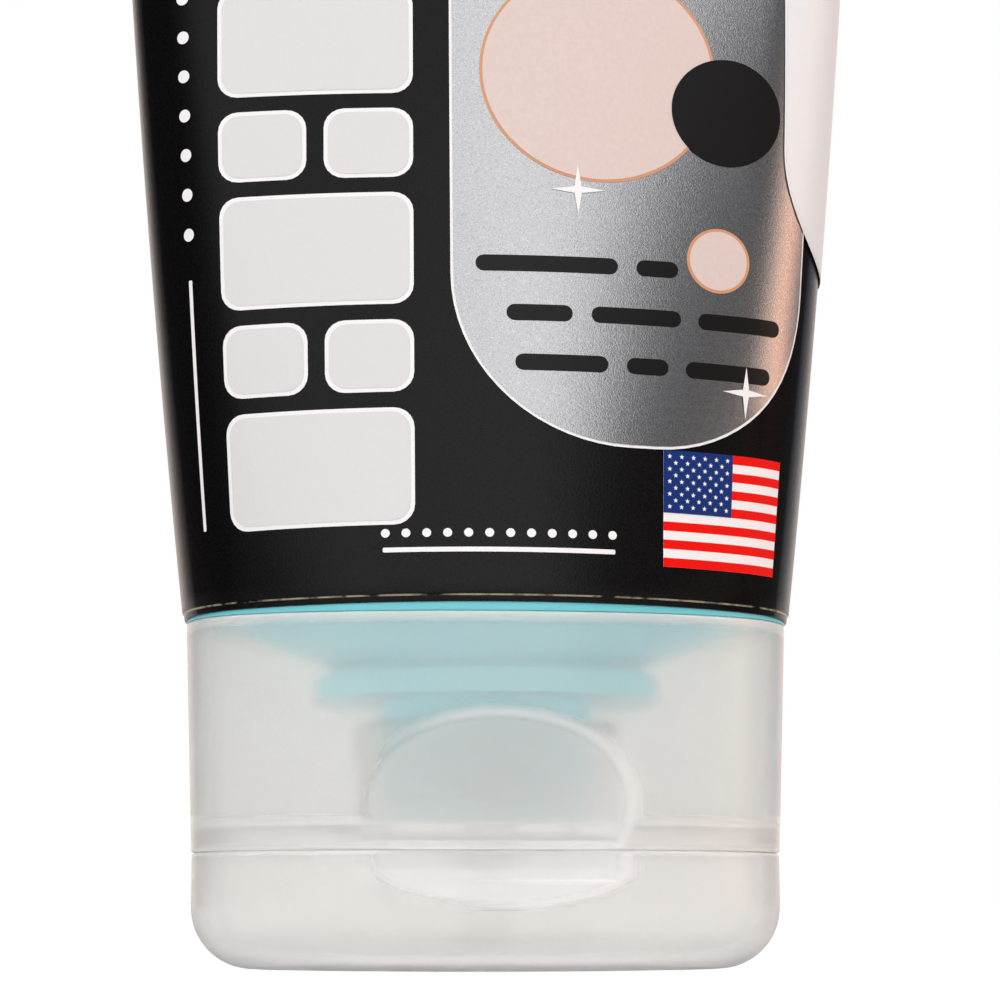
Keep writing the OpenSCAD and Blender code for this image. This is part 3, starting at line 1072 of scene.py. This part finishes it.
class Printer:
    """Draws flat shapes and wraps them round the sleeve."""

    CUT_U = (1.0, 0.013)
    CUT_Z = (2.0, 0.017)
    DISC_SIDES = 64
    UPRIGHT = (math.pi / 2, 0, 0)

    def __init__(self, sleeve: Sleeve) -> None:
        """Keeps the sleeve's form.

        Args:
            sleeve: The form that the print lies on.
        """
        self.sleeve = sleeve

    def _draw(self, mark: Mark) -> Piece:
        """Returns one flat shape in the XZ plane.

        Args:
            mark: The shape.

        Returns:
            A flat object.
        """
        if mark.shape is Shape.PANEL:
            return self._draw_panel(mark)
        bpy.ops.mesh.primitive_circle_add(
            vertices=self.DISC_SIDES if mark.shape is Shape.DISC else 2 * mark.points,
            radius=mark.size[0] * MM,
            fill_type="NGON",
            location=(mark.u * MM, 0, mark.z * MM),
            rotation=self.UPRIGHT,
        )
        obj = bpy.context.object
        if mark.shape is Shape.STAR:
            for i, vertex in enumerate(obj.data.vertices):
                angle = math.pi / 2 + math.pi * i / mark.points
                r = mark.size[i % 2] * MM
                vertex.co = (r * math.cos(angle), r * math.sin(angle), 0)
        return obj

    @staticmethod
    def _draw_panel(mark: Mark) -> Piece:
        """Returns a flat panel, with rounded corners where it has a radius.

        Args:
            mark: The panel.

        Returns:
            A flat object.
        """
        bpy.ops.mesh.primitive_plane_add(
            size=1, location=(mark.u * MM, 0, mark.z * MM), rotation=Printer.UPRIGHT
        )
        obj = bpy.context.object
        obj.scale = (mark.size[0] * MM, mark.size[1] * MM, 1)
        if mark.radius > 0:
            bpy.ops.object.transform_apply(location=False, rotation=False, scale=True)
            with Editing(obj):
                bpy.ops.mesh.bevel(
                    offset=mark.radius * MM,
                    segments=4 + int(mark.radius),
                    affect="VERTICES",
                    clamp_overlap=True,
                )
        return obj

    @staticmethod
    def _flat(obj: Piece) -> np.ndarray:
        """Returns a flat object's points, as distances along and up the sleeve.

        Args:
            obj: Flat object.

        Returns:
            Points in millimetres.
        """
        co = np.empty(len(obj.data.vertices) * 3)
        obj.data.vertices.foreach_get("co", co)
        return co.reshape(-1, 3)[:, ::2] / MM

    def lay(self, ink: Ink) -> Piece:
        """Draws an ink's shapes, cuts them finely and wraps them.

        Args:
            ink: Shapes of one colour.

        Returns:
            The print as one object.
        """
        obj = Mesh.join([self._draw(mark) for mark in ink.marks])
        bpy.ops.object.transform_apply(location=True, rotation=True, scale=True)
        obj.name = obj.data.name = ink.name
        flat = self._flat(obj)
        with Editing(obj):
            for axis, (step, shift) in ((0, self.CUT_U), (1, self.CUT_Z)):
                low, high = flat[:, axis].min(), flat[:, axis].max()
                side = (1, 0, 0) if axis == 0 else (0, 0, 1)
                for value in np.arange(math.ceil(low), high, step):
                    bpy.ops.mesh.select_all(action="SELECT")
                    bpy.ops.mesh.bisect(plane_co=Vector(side) * ((value + shift) * MM), plane_no=side)
        flat = self._flat(obj)
        placed = self.sleeve.place(flat[:, 0], flat[:, 1], np.full(len(flat), ink.lift)) * MM
        obj.data.vertices.foreach_set("co", placed.astype(np.float32).ravel())
        obj.data.update()
        obj.data.materials.append(ink.material)
        for polygon in obj.data.polygons:
            polygon.use_smooth = True
        return obj


class Graph:
    """Adds nodes to one tree. Each term that they take is a socket to link or a plain value to set."""

    def __init__(self, tree: bpy.types.NodeTree) -> None:
        """Keeps the tree.

        Args:
            tree: Nodes of a material, a group or the world.
        """
        self.tree = tree

    def put(self, term: Term, socket: Socket) -> None:
        """Links a socket to an input, or sets a plain value on it.

        Args:
            term: Socket or plain value.
            socket: Input that gets it.
        """
        if isinstance(term, Socket):
            self.tree.links.new(term, socket)
        else:
            socket.default_value = term

    def add(self, kind: str, terms: Optional[Terms] = None, **settings: object) -> bpy.types.Node:
        """Adds a node.

        Args:
            kind: Type of the node.
            terms: What each named or numbered input gets.
            **settings: The node's own settings.

        Returns:
            The node.
        """
        node = self.tree.nodes.new(kind)
        for key, value in settings.items():
            setattr(node, key, value)
        for key, term in (terms or {}).items():
            self.put(term, node.inputs[key])
        return node

    def math(self, operation: str, *terms: Term, clamp: bool = False) -> Socket:
        """Returns the result of a sum."""
        node = self.add("ShaderNodeMath", dict(enumerate(terms)), operation=operation, use_clamp=clamp)
        return node.outputs[0]

    def ramp(self, value: Term, start: float, end: float, low: float = 0.0, high: float = 1.0) -> Socket:
        """Returns a value that goes from low to high while another goes from start to end."""
        terms = {"Value": value, "From Min": start, "From Max": end, "To Min": low, "To Max": high}
        return self.add("ShaderNodeMapRange", terms).outputs["Result"]

    def mix(self, share: Term, first: Term, second: Term) -> Socket:
        """Returns a colour between two colours."""
        terms = {"Factor": share, "A": first, "B": second}
        return self.add("ShaderNodeMix", terms, data_type="RGBA").outputs["Result"]

    def place(self) -> Socket:
        """Returns the object's own coordinates."""
        return self.add("ShaderNodeTexCoord").outputs["Object"]

    def facing(self) -> Socket:
        """Returns how far the surface turns away from the view, for its gloss."""
        return self.add("ShaderNodeLayerWeight", {"Blend": 0.5}).outputs["Facing"]


def speck_group() -> bpy.types.NodeTree:
    """Returns the group that gives fine specks from the object's own coordinates.

    Returns:
        The group, made at its first use.
    """
    name = "Fine specks"
    if name in bpy.data.node_groups:
        return bpy.data.node_groups[name]
    tree = bpy.data.node_groups.new(name, "ShaderNodeTree")
    for label, way in (("Scale", "INPUT"), ("Contrast", "INPUT"), ("Value", "OUTPUT")):
        tree.interface.new_socket(label, in_out=way, socket_type="NodeSocketFloat")
    graph = Graph(tree)
    given = graph.add("NodeGroupInput").outputs
    noise = graph.add(
        "ShaderNodeTexNoise", {"Vector": graph.place(), "Scale": given["Scale"], "Detail": 2.0}
    ).outputs["Fac"]
    value = graph.math("MULTIPLY", graph.math("SUBTRACT", noise, 0.5), given["Contrast"])
    graph.add("NodeGroupOutput", {"Value": value})
    return tree


@dataclass(frozen=True)
class Finish:
    """A finish of one colour. The shader's constants are set on its own sockets."""

    name: str
    colour: Colour
    sockets: Sockets = ()

    def build(self) -> bpy.types.Material:
        """Makes the material.

        Returns:
            The material.
        """
        material = bpy.data.materials.new(self.name)
        material.use_nodes = True
        graph = Graph(material.node_tree)
        shader = graph.tree.nodes["Principled BSDF"].inputs
        for key, value in (("Base Color", (*self.colour, 1)), *self.sockets):
            shader[key].default_value = value
        self.dress(graph, shader)
        return material

    def dress(self, graph: Graph, shader: bpy.types.NodeInputs) -> None:
        """Leaves a plain finish as it is."""


@dataclass(frozen=True)
class MilkyWithGrazeShade(Finish):
    """A see-through finish whose milkiness, with its painted highlights, is kept on the mesh, and whose walls
    get painted shade: their colour darkens at grazing angles.
    """

    graze_shade_range: tuple[float, float] = (0.5, 0.9)
    graze_shade_tone: float = 0.58

    def dress(self, graph: Graph, shader: bpy.types.NodeInputs) -> None:
        """Ties the clearness and the colour to the milkiness, and darkens the walls' colour at grazing angles
        as painted shade.

        Args:
            graph: The material's nodes.
            shader: Inputs of its shader.
        """
        # The mesh's milkiness, with its painted highlights, sets how clear and how white the plastic is.
        milk_and_highlight = graph.add("ShaderNodeAttribute", attribute_name=MilkAndHighlight.NAME).outputs["Fac"]
        graph.put(graph.math("SUBTRACT", 1.0, milk_and_highlight), shader["Transmission Weight"])
        walls = graph.math("COMPARE", milk_and_highlight, MilkAndHighlight.WALL, 0.02)
        # Painted shade: the walls' colour darkens where they turn away from the view.
        share = graph.math("MULTIPLY", graph.ramp(graph.facing(), *self.graze_shade_range), walls)
        graze_shade_colour = (*(part * self.graze_shade_tone for part in self.colour), 1)
        graph.put(graph.mix(share, (*self.colour, 1), graze_shade_colour), shader["Base Color"])


@dataclass(frozen=True)
class Specked(Finish):
    """A finish whose colour and surface have fine specks, so many a metre."""

    scale: float = 5000
    tone: float = 0.1
    relief: float = 0.0

    def dress(self, graph: Graph, shader: bpy.types.NodeInputs) -> None:
        """Ties the colour, and the surface where it has relief, to the specks.

        Args:
            graph: The material's nodes.
            shader: Inputs of its shader.
        """
        grain = graph.add("ShaderNodeGroup", node_tree=speck_group())
        grain.inputs["Scale"].default_value = self.scale
        grain.inputs["Contrast"].default_value = 1.0
        specks = grain.outputs["Value"]
        gain = graph.math("MULTIPLY_ADD", specks, self.tone, 1.0)
        tint = graph.add("ShaderNodeVectorMath", operation="SCALE")
        tint.inputs[0].default_value = self.colour
        graph.put(gain, tint.inputs["Scale"])
        graph.put(self.over(graph, tint.outputs["Vector"]), shader["Base Color"])
        if self.relief > 0:
            bump = {"Strength": self.relief, "Distance": 0.00005, "Height": specks}
            graph.put(graph.add("ShaderNodeBump", bump).outputs["Normal"], shader["Normal"])

    def over(self, graph: Graph, colour: Socket) -> Socket:
        """Returns the specked colour with what lies over it: nothing here."""
        return colour


@dataclass(frozen=True)
class SleeveBlack(Specked):
    """The sleeve's black print, with a painted highlight over it: a broken pale line at the step just above
    the sleeve's foot.
    """

    # Height, half height, colour and breakup of the painted highlight line.
    highlight_line_z: float = 0.02652
    highlight_line_half: float = 0.00006
    highlight_line_colour: Colour = (0.34, 0.33, 0.22)
    highlight_break_scale: float = 700

    def dress(self, graph: Graph, shader: bpy.types.NodeInputs) -> None:
        """Adds a gloss that is stronger where the sleeve faces the view and where it turns away.

        Args:
            graph: The material's nodes.
            shader: Inputs of its shader.
        """
        super().dress(graph, shader)
        facing = graph.facing()
        front, side = graph.ramp(facing, 0.05, 0.3, 0.17, 0.02), graph.ramp(facing, 0.6, 0.88)
        graph.put(graph.math("ADD", front, side), shader["Specular IOR Level"])

    def over(self, graph: Graph, colour: Socket) -> Socket:
        """Returns the specked colour with the painted highlight line over it.

        Args:
            graph: The material's nodes.
            colour: The specked colour.

        Returns:
            The colour with the painted highlight line.
        """
        place = graph.place()
        height = graph.add("ShaderNodeSeparateXYZ", {0: place}).outputs["Z"]
        # Painted highlight: a thin broken pale line at the step just above the sleeve's foot.
        band = graph.math("COMPARE", height, self.highlight_line_z, self.highlight_line_half)
        breaks = graph.add("ShaderNodeTexNoise", {"Vector": place, "Scale": self.highlight_break_scale}).outputs["Fac"]
        share = graph.math("MULTIPLY", band, graph.ramp(breaks, 0.36, 0.52))
        return graph.mix(share, colour, (*self.highlight_line_colour, 1))


def gloss(roughness: float, level: Optional[float] = None) -> Sockets:
    """Returns the constants of an ink's gloss."""
    return (("Roughness", roughness),) + ((("Specular IOR Level", level),) if level is not None else ())


class Artwork:
    """Lays out the print as generic fields, tiles, rules and discs, with a flag."""

    FOIL = (-3.2, 24.4, 37.8, 116.0)
    BLUSH_DISCS = ((7.6, 66.8, 8.6), (16.6, 52.4, 2.3), (9.5, 88, 6.5), (3.2, 101, 3.4), (17.5, 98, 4.6))
    BLACK_DISCS = ((17.3, 64.2, 4.3), (17.6, 80.5, 3.6), (2.0, 80, 2.6))
    DISC_RIM = 0.22
    BARS = (
        (51.4, ((-1.6, 8.8), (10.2, 13.4))),
        (47.6, ((0.6, 5.4), (6.8, 13.6), (15.0, 22.0))),
        (43.8, ((1.2, 8.0), (9.4, 12.6), (14.0, 21.2))),
    )
    BAR_H = 1.24
    SPARKLES = ((5.9, 57.3), (19.0, 42.4))
    TILES_Z = 31.8
    TILE_ROWS = ((8.4, ((-20.3, -6.2),)), (5.2, ((-20.3, -14.0), (-12.4, -6.2))))
    TILE_EDGE = 0.16
    TILE_GAP = 1.5
    FLAG = (12.2, 23.0, 28.9, 37.6)
    FIELD_SHARE = 0.54

    def __init__(self) -> None:
        """Makes the inks' materials."""
        foil_gloss = (("Metallic", 1.0), ("Roughness", 0.19))
        self.foil = Specked("Silver foil", (0.40, 0.40, 0.41), foil_gloss, 11000, 1.1, 0.32).build()
        self.blush = Specked("Blush ink", (0.77, 0.635, 0.59), gloss(0.5), 2600, 0.12).build()
        self.peach = Finish("Peach ink", (0.72, 0.33, 0.16), gloss(0.5)).build()
        self.white = Finish("White ink", (0.97, 0.97, 0.98), gloss(0.45)).build()
        self.grey = Specked("Pale grey ink", (0.78, 0.765, 0.775), gloss(0.45), 4000, 0.05).build()
        self.black = Finish("Black ink", (0.006, 0.0055, 0.006), gloss(0.38, 0.2)).build()
        self.red = Finish("Red ink", (0.92, 0.006, 0.003), gloss(0.5, 0.1)).build()
        self.blue = Finish("Blue ink", (0.008, 0.035, 0.19), gloss(0.5, 0.1)).build()
        self.pearl = Specked("Pearl panel", (0.90, 0.93, 0.96), gloss(0.38), 7000, 0.06, 0.1).build()

    def inks(self) -> list[Ink]:
        """Returns all print in the order in which it is laid."""
        return [*self._foil_panel(), *self._tiles(), *self._rules(), *self._flag(), *self._back()]

    def _foil_panel(self) -> list[Ink]:
        """Returns the foil panel with its discs, bars and sparkles.

        Returns:
            The inks, lowest first.
        """
        u0, u1, z0, z1 = self.FOIL
        edge, bar = 0.2, self.BAR_H / 2
        outline = Ink("panel_outline", self.white, 0.05).panel(u0 - edge, u1 + edge, z0 - edge, z1, 13)
        foil = Ink("foil_panel", self.foil, 0.08).panel(u0, u1, z0, z1 - edge, 12.8)
        rim, blush = Ink("disc_rims", self.peach, 0.10), Ink("blush_discs", self.blush, 0.12)
        black, bars = Ink("black_discs", self.black, 0.14), Ink("panel_bars", self.black, 0.12)
        sparkles = Ink("sparkles", self.white, 0.14)
        for u, z, r in self.BLUSH_DISCS:
            rim.disc(u, z, r + self.DISC_RIM)
            blush.disc(u, z, r)
        for u, z, r in self.BLACK_DISCS:
            black.disc(u, z, r)
        for z, parts in self.BARS:
            for start, end in parts:
                bars.panel(start, end, z - bar, z + bar, 0.6)
        for u, z in self.SPARKLES:
            sparkles.star(u, z, 2.0, 0.37, 4)
        return [outline, foil, rim, blush, black, bars, sparkles]

    def _tiles(self) -> list[Ink]:
        """Returns the column of pale grey tiles with white outlines.

        Returns:
            The inks, lowest first.
        """
        outline, grey = Ink("tile_outlines", self.white, 0.05), Ink("tiles", self.grey, 0.09)
        z, edge = self.TILES_Z, self.TILE_EDGE
        for row in range(8):
            height, parts = self.TILE_ROWS[row % 2]
            for u0, u1 in parts:
                outline.panel(u0 - edge, u1 + edge, z - edge, z + height + edge, 1.5)
                grey.panel(u0 + edge, u1 - edge, z + edge, z + height - edge, 1.3)
            z += height + self.TILE_GAP
        return [outline, grey]

    def _rules(self) -> list[Ink]:
        """Returns the thin rule and dots beside the tiles, and the rule and dots above the foot.

        Returns:
            The one ink.
        """
        rules = Ink("rules", self.white, 0.07).panel(-23.4, -23.05, 32, 51, 0.1)
        for i in range(9):
            rules.disc(-23.2, 54.5 + 3.1 * i, 0.5)
        rules.panel(-8.4, 8.4, 29.6, 29.95, 0.1)
        for i in range(12):
            rules.disc(-8.2 + 16.4 * i / 11, 31.0, 0.32)
        return [rules]

    def _flag(self) -> list[Ink]:
        """Returns the flag of thirteen stripes and a starred field.

        Returns:
            The inks, lowest first.
        """
        u0, u1, z0, z1 = self.FLAG
        stripe = (z1 - z0) / 13
        field_u, field_z = u0 + self.FIELD_SHARE * (u1 - u0), z1 - 7 * stripe
        white = Ink("flag_ground", self.white, 0.06).panel(u0, u1, z0, z1)
        red, stars = Ink("flag_stripes", self.red, 0.08), Ink("flag_stars", self.white, 0.12)
        for i in range(0, 13, 2):
            red.panel(u0, u1, z0 + i * stripe, z0 + (i + 1) * stripe)
        blue = Ink("flag_field", self.blue, 0.10).panel(u0, field_u, field_z, z1)
        for row in range(9):
            count, first = (6, 1) if row % 2 == 0 else (5, 2)
            for i in range(count):
                du = (field_u - u0) * (2 * i + first) / 12
                stars.star(u0 + du, field_z + (z1 - field_z) * (row + 1) / 10, 0.2, 0.085)
        return [white, red, blue, stars]

    def _back(self) -> list[Ink]:
        """Returns the pale panel that wraps from the right side round the back."""
        outline = Ink("back_outline", self.white, 0.16).panel(22.0, 84.2, 52.8, 136.2, 9)
        return [outline, Ink("back_panel", self.pearl, 0.18).panel(22.2, 84, 53, 136, 8.8)]


@dataclass(frozen=True)
class Softbox:
    """One area light, in metres, that looks at the tube."""

    name: str
    place: tuple[float, float, float]
    size: tuple[float, float]
    watts: float
    colour: Colour = (1.0, 1.0, 1.0)

    def build(self, aim: Vector) -> None:
        """Adds the light to the scene.

        Args:
            aim: Point that it looks at.
        """
        data = bpy.data.lights.new(self.name, "AREA")
        data.shape = "RECTANGLE"
        data.size, data.size_y = self.size
        data.energy, data.color = self.watts, self.colour
        obj = bpy.data.objects.new(self.name, data)
        obj.location = self.place
        obj.rotation_euler = (aim - Vector(self.place)).to_track_quat("-Z", "Y").to_euler()
        bpy.context.scene.collection.objects.link(obj)


class Studio:
    """Camera, floor, world and lights."""

    DISTANCE = 0.206
    AZIMUTH = 3.5
    HEIGHT = 0.00493
    PITCH = 8.5
    YAW = 0.2875
    LENS = 96.84
    SENSOR = 36
    FLOOR_Z = -0.00005
    SURROUND = (
        (-180, (1.25, 1.12, 1.05)),
        (-154, (1.15, 1.0, 0.93)),
        (-142, (0.16, 0.15, 0.14)),
        (-125, (0.06, 0.06, 0.06)),
        (-90, (0.10, 0.10, 0.10)),
        (-60, (0.45, 0.45, 0.45)),
        (-38, (1.05, 1.05, 1.05)),
        (-15, (1.45, 1.45, 1.46)),
        (22, (1.78, 1.78, 1.79)),
        (27, (0.7, 0.7, 0.71)),
        (32, (0.22, 0.22, 0.23)),
        (54, (0.20, 0.20, 0.20)),
        (66, (0.20, 0.18, 0.17)),
        (76, (0.9, 0.58, 0.42)),
        (88, (2.4, 1.25, 0.8)),
        (104, (0.34, 0.35, 0.38)),
        (136, (0.30, 0.33, 0.37)),
        (152, (1.15, 1.0, 0.93)),
        (180, (1.25, 1.12, 1.05)),
    )
    THROUGH = (0.86, 0.825, 0.79)
    INSIDE = (1.95, 1.94, 1.92)

    def build(self) -> None:
        """Sets up the whole studio."""
        self._camera()
        self._floor()
        self._world()
        aim = Vector((0, 0, 0.05))
        for light in (
            Softbox("Key", (-0.42, -0.40, 0.22), (0.30, 0.55), 0.35),
            Softbox("Fill", (0.60, -0.12, 0.20), (0.30, 0.55), 0.2, (1.0, 0.96, 0.92)),
            Softbox("Top", (0.0, -0.10, 0.60), (0.5, 0.4), 0.6),
        ):
            light.build(aim)
        view = bpy.context.scene.view_settings
        view.view_transform = "Standard"
        view.look = "None"

    def _camera(self) -> None:
        """Places the camera at the photo's angle."""
        data = bpy.data.cameras.new("Camera")
        data.lens, data.sensor_width = self.LENS, self.SENSOR
        data.clip_start, data.clip_end = 0.01, 20
        obj = bpy.data.objects.new("Camera", data)
        turn = math.radians(self.AZIMUTH)
        obj.location = (-self.DISTANCE * math.sin(turn), -self.DISTANCE * math.cos(turn), self.HEIGHT)
        obj.rotation_euler = (math.radians(90 + self.PITCH), 0, -turn - math.radians(self.YAW))
        bpy.context.scene.collection.objects.link(obj)
        bpy.context.scene.camera = obj

    def _seen(self, graph: Graph) -> tuple[Socket, Socket]:
        """Returns a mask of the camera's rays, straight or through the clear plastic, and what they see.

        Args:
            graph: Nodes of the floor or the world.

        Returns:
            The mask and the colour.
        """
        path = graph.add("ShaderNodeLightPath").outputs
        mask = graph.math("ADD", path["Is Camera Ray"], path["Transmission Depth"], clamp=True)
        scattered = graph.math("MINIMUM", path["Diffuse Depth"], 1.0)
        inside = graph.mix(scattered, (*self.THROUGH, 1), (*self.INSIDE, 1))
        return mask, graph.mix(path["Is Camera Ray"], inside, (1, 1, 1, 1))

    def _floor(self) -> None:
        """Lays a white floor just under the lid."""
        bpy.ops.mesh.primitive_plane_add(size=6, location=(0, 0, self.FLOOR_Z))
        floor = bpy.context.object
        floor.name = "floor"
        material = Finish("White floor", (0.9, 0.9, 0.9), gloss(0.9)).build()
        graph = Graph(material.node_tree)
        shader = graph.tree.nodes["Principled BSDF"].inputs
        mask, colour = self._seen(graph)
        graph.put(colour, shader["Emission Color"])
        graph.put(mask, shader["Emission Strength"])
        graph.put(graph.mix(mask, (0.85, 0.85, 0.85, 1), (0, 0, 0, 1)), shader["Base Color"])
        floor.data.materials.append(material)
        floor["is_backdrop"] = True

    def _world(self) -> None:
        """Shows white to the camera, and lights the tube from all round by its table of azimuths."""
        world = bpy.data.worlds.new("Studio")
        bpy.context.scene.world = world
        world.use_nodes = True
        world.node_tree.nodes.clear()
        graph = Graph(world.node_tree)
        mask, colour = self._seen(graph)
        place = graph.add("ShaderNodeTexCoord").outputs["Generated"]
        parts = graph.add("ShaderNodeSeparateXYZ", {0: place}).outputs
        turn = graph.math("ARCTAN2", parts["X"], graph.math("MULTIPLY", parts["Y"], -1))
        share = graph.math("MULTIPLY_ADD", turn, 1 / (2 * math.pi), 0.5)
        ramp = graph.add("ShaderNodeValToRGB", {"Fac": share})
        stops = ramp.color_ramp.elements
        for i, (azimuth, tone) in enumerate(self.SURROUND):
            stop = stops[i] if i < 2 else stops.new(1.0)
            stop.position = azimuth / 360 + 0.5
            stop.color = (*tone, 1)
        soft = graph.add("ShaderNodeBackground", {"Color": ramp.outputs["Color"]}).outputs[0]
        seen = graph.add("ShaderNodeBackground", {"Color": colour}).outputs[0]
        both = graph.add("ShaderNodeMixShader", {"Fac": mask, 1: soft, 2: seen}).outputs[0]
        graph.add("ShaderNodeOutputWorld", {"Surface": both})


class Product:
    """Builds all looks of the tube and ties them to the frame."""

    HELD_END = 0.2

    def __init__(self, frame: dict) -> None:
        """Prepares the forms.
        """
        self.frame = frame
        self.form = Form()
        self.ovals = Ovals(self.form)
        self.sleeve = Sleeve(self.form)

    def build(self) -> None:
        """Makes every piece."""
        self._cap()
        self._tube()
        self._print()

    @staticmethod
    def _seat(obj: Piece, slot: str, body: str) -> None:
        """Gives a piece its body, and logs it with the name of its material slot.

        Args:
            obj: The piece.
            slot: Name of the material slot, which is logged.
            body: Body that it rides, or nothing where it rides none.
        """
        if body:
            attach(obj, body)
        log.info("%s: %d faces in slot %s", obj.name, len(obj.data.polygons), slot)

    def _finish(self, obj: Piece, node: str, slot: str, finish: Finish, body: str) -> None:
        """Gives a piece its finish and body in place of a CAD node, which it hides, and logs its material
        slot's name.

        Args:
            obj: The piece.
            node: CAD node that it replaces.
            slot: Name of the material slot, which is logged.
            finish: What it is made of.
            body: Body that it rides, or nothing where it rides none.
        """
        obj.data.materials.append(finish.build())
        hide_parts(node)
        self._seat(obj, slot, body)

    def _cap(self) -> None:
        """Makes the cap's base, lid and hinge strap."""
        f = self.form
        cap = CapMaker(f, self.ovals)
        for build, node, slot, name, blue, body in (
            (cap.base, "cap_base", "frosted_cap", "Frosted cap", 0.935, "cap"),
            (cap.lid, "cap_lid", "frosted_lid", "Frosted lid", 0.94, "lid"),
            (cap.strap, "hinge_web", "hinge_plastic", "Hinge plastic", 0.94, ""),
        ):
            piece = build()
            finish = MilkyWithGrazeShade(name, (0.95, 0.945, blue), (("Roughness", 0.22), ("IOR", 1.42)))
            self._finish(piece, node, slot, finish, body)
        y, reach = f.land_y, f.hinge_h / 2 - self.HELD_END
        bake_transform(piece)

    def _tube(self) -> None:
        """Makes the head and the sleeve, and gives the gel its finish."""
        head = HeadMaker(self.form, self.ovals).head()
        tinted = MilkyWithGrazeShade("Tinted head", (0.25, 0.85, 0.94), (("Roughness", 0.3), ("IOR", 1.4)))
        self._finish(head, "tube_head", "tinted_head", tinted, "tube")
        black = SleeveBlack("Black print", (0.0045, 0.0042, 0.0048), gloss(0.27), 6500, 2.5, 0.4)
        self._finish(self.sleeve.shell(), "tube_sleeve", "printed_sleeve", black, "tube")
        clear = (("Roughness", 0.08), ("IOR", 1.36), ("Transmission Weight", 0.5))
        gel = self.frame["nodes"]["gel_fill"].data.materials
        gel.clear()
        gel.append(Finish("Clear gel", (0.12, 0.56, 0.64), clear).build())

    def _print(self) -> None:
        """Lays the print on the sleeve."""
        printer = Printer(self.sleeve)
        for ink in Artwork().inks():
            self._seat(printer.lay(ink), "printed_sleeve", "tube")


def corners(bounds: tuple[Vector, Vector]) -> list[list[float]]:
    """Returns the two corners of a box as plain lists."""
    return [list(point) for point in bounds]


def main(frame: dict) -> dict:
    """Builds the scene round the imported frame.


    Returns:
        The object's box before and after the looks were made.
    """
    before = corners(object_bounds())
    Product(frame).build()
    Studio().build()
    after = corners(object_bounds())
    log.info("box before %s, after %s", before, after)
    return {"before": before, "after": after}


if __name__ == "__main__":
    sizes = main(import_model())
